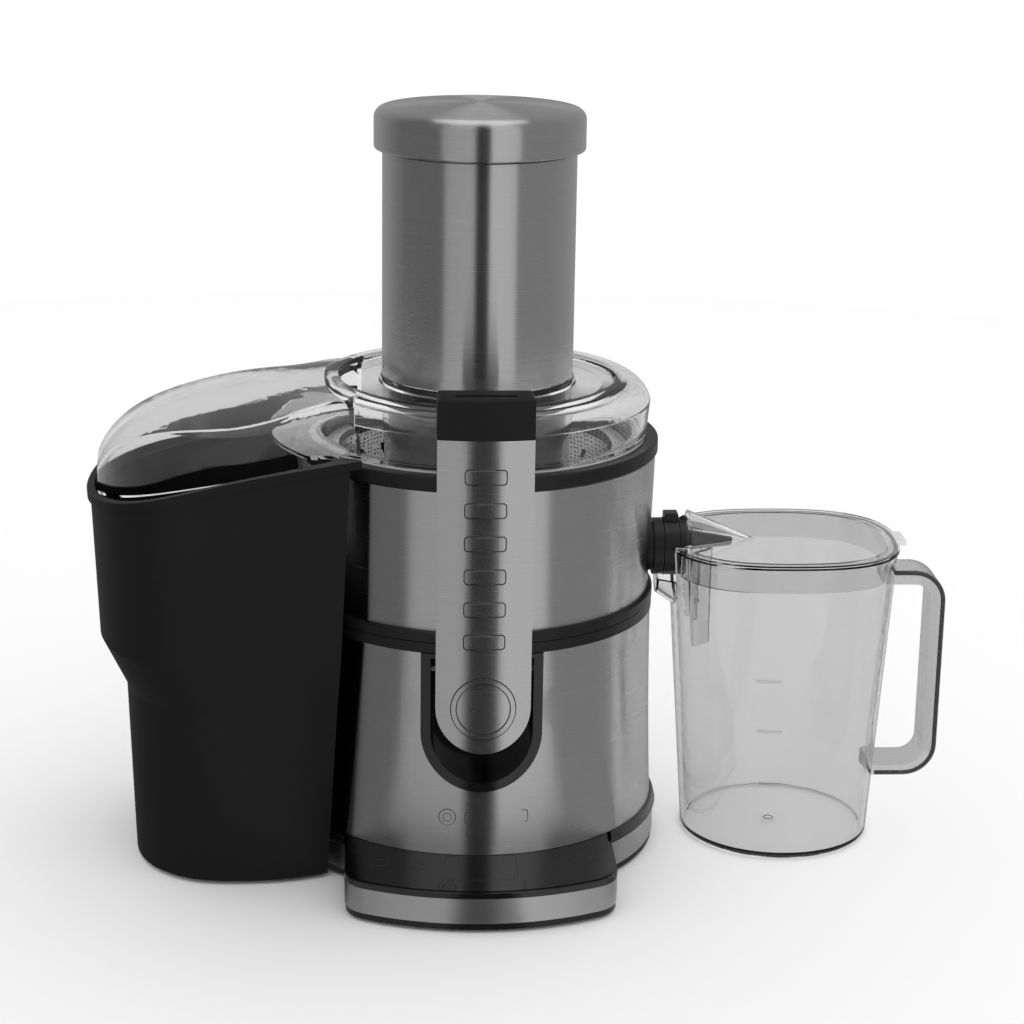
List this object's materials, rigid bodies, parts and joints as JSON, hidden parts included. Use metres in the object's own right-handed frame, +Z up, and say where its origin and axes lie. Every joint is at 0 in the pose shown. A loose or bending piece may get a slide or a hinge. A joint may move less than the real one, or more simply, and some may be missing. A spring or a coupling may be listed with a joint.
{
  "type": "centrifugal juicer",
  "caption": "Centrifugal juicer with brushed steel base, clear lid with pulp hood, feed chute and pusher, locking arm, pulp bin and juice jug.",
  "frame": {"origin": "on the drive axis at table height, in the plane of the feet", "axes": "+Z up along the drive axis, -Y towards the locking arm and console, +X towards the juice jug, -X towards the pulp bin"},
  "size_m": [0.4212, 0.224, 0.3655],
  "materials": {
    "rubber": "matt moulded rubber",
    "black_plastic": "satin moulded ABS",
    "matte_black": "fine matt moulded ABS",
    "gloss_black": "glossy moulded ABS",
    "panel_gloss": "high gloss touch panel",
    "brushed_steel": "brushed stainless steel",
    "polished_steel": "fine satin stainless strip",
    "mesh_steel": "etched stainless sheet",
    "zinc_steel": "zinc plated steel",
    "cast_alloy": "die cast alloy",
    "lamination": "stacked laminations",
    "copper": "enamelled copper wire",
    "brass": "pressed brass",
    "carbon": "graphite block",
    "circuit_board": "printed circuit board",
    "silicone": "translucent silicone",
    "smoky_clear": "smoke tinted clear plastic",
    "clear": "clear moulded plastic"
  },
  "bodies": {
    "root": {"rubber_feet": "rubber", "base_tub": "black_plastic", "base_screws": "zinc_steel", "base_steel_strip": "polished_steel", "base_housing": "black_plastic", "skirt_ring": "gloss_black", "lower_steel_sleeve": "brushed_steel", "latch_recess": "gloss_black", "console_housing": "gloss_black", "control_panel": "panel_gloss", "control_board": "circuit_board", "cord_gland": "rubber", "lower_motor_bracket": "cast_alloy", "upper_motor_bracket": "cast_alloy", "motor_screws": "zinc_steel", "motor_stator": "lamination", "field_coils": "copper", "lower_bearing": "zinc_steel", "upper_bearing": "zinc_steel", "brush_holders": "brass", "carbon_brushes": "carbon", "shaft_seal": "rubber", "safety_switch": "black_plastic", "juice_bowl": "black_plastic", "upper_steel_band": "brushed_steel", "spout": "black_plastic", "lid": "smoky_clear", "lid_gasket": "silicone", "chute_jacket": "brushed_steel", "chute_collar": "smoky_clear", "arm_pivot_pin": "zinc_steel"},
    "drive_train": {"motor_shaft": "zinc_steel", "rotor_core": "lamination", "rotor_windings": "copper", "commutator": "copper", "cooling_fan": "black_plastic", "drive_coupling": "black_plastic", "basket_hub": "black_plastic", "filter_basket": "mesh_steel", "basket_rim": "mesh_steel", "grater_disc": "mesh_steel"},
    "locking_arm": {"arm_core": "black_plastic", "arm_face_plate": "brushed_steel", "arm_hook": "matte_black"},
    "pusher": {"pusher_body": "black_plastic", "pusher_collar": "black_plastic", "pusher_cap": "brushed_steel"},
    "pulp_bin": {"pulp_bin": "matte_black", "bin_feet": "rubber"},
    "juice_jug": {"jug": "clear", "jug_handle": "clear"},
    "jug_cover": {"jug_lid": "clear"},
    "drip_ring": {"drip_stop": "black_plastic"}
  },
  "joints": [
    {"name": "basket_spin", "type": "hinge", "parent": "root", "child": "drive_train", "pos_m": [0, 0, 0.1], "axis": [0, 0, 1], "continuous": true},
    {"name": "arm_swing", "type": "hinge", "parent": "root", "child": "locking_arm", "pos_m": [0, -0.079, 0.113], "axis": [1, 0, 0], "range_deg": [0, 22]},
    {"name": "pusher_lift", "type": "slide", "parent": "root", "child": "pusher", "axis": [0, 0, 1], "range_m": [0, 0.16]},
    {"name": "bin_slide", "type": "slide", "parent": "root", "child": "pulp_bin", "axis": [-1, 0, 0], "range_m": [0, 0.12]},
    {"name": "jug_slide", "type": "slide", "parent": "root", "child": "juice_jug", "axis": [1, 0, 0], "range_m": [0, 0.12]},
    {"name": "jug_lid_lift", "type": "slide", "parent": "juice_jug", "child": "jug_cover", "axis": [0, 0, 1], "range_m": [0, 0.06]},
    {"name": "drip_turn", "type": "hinge", "parent": "root", "child": "drip_ring", "pos_m": [0.096, 0, 0.148], "axis": [1, 0, 0], "range_deg": [0, 50]}
  ]
}
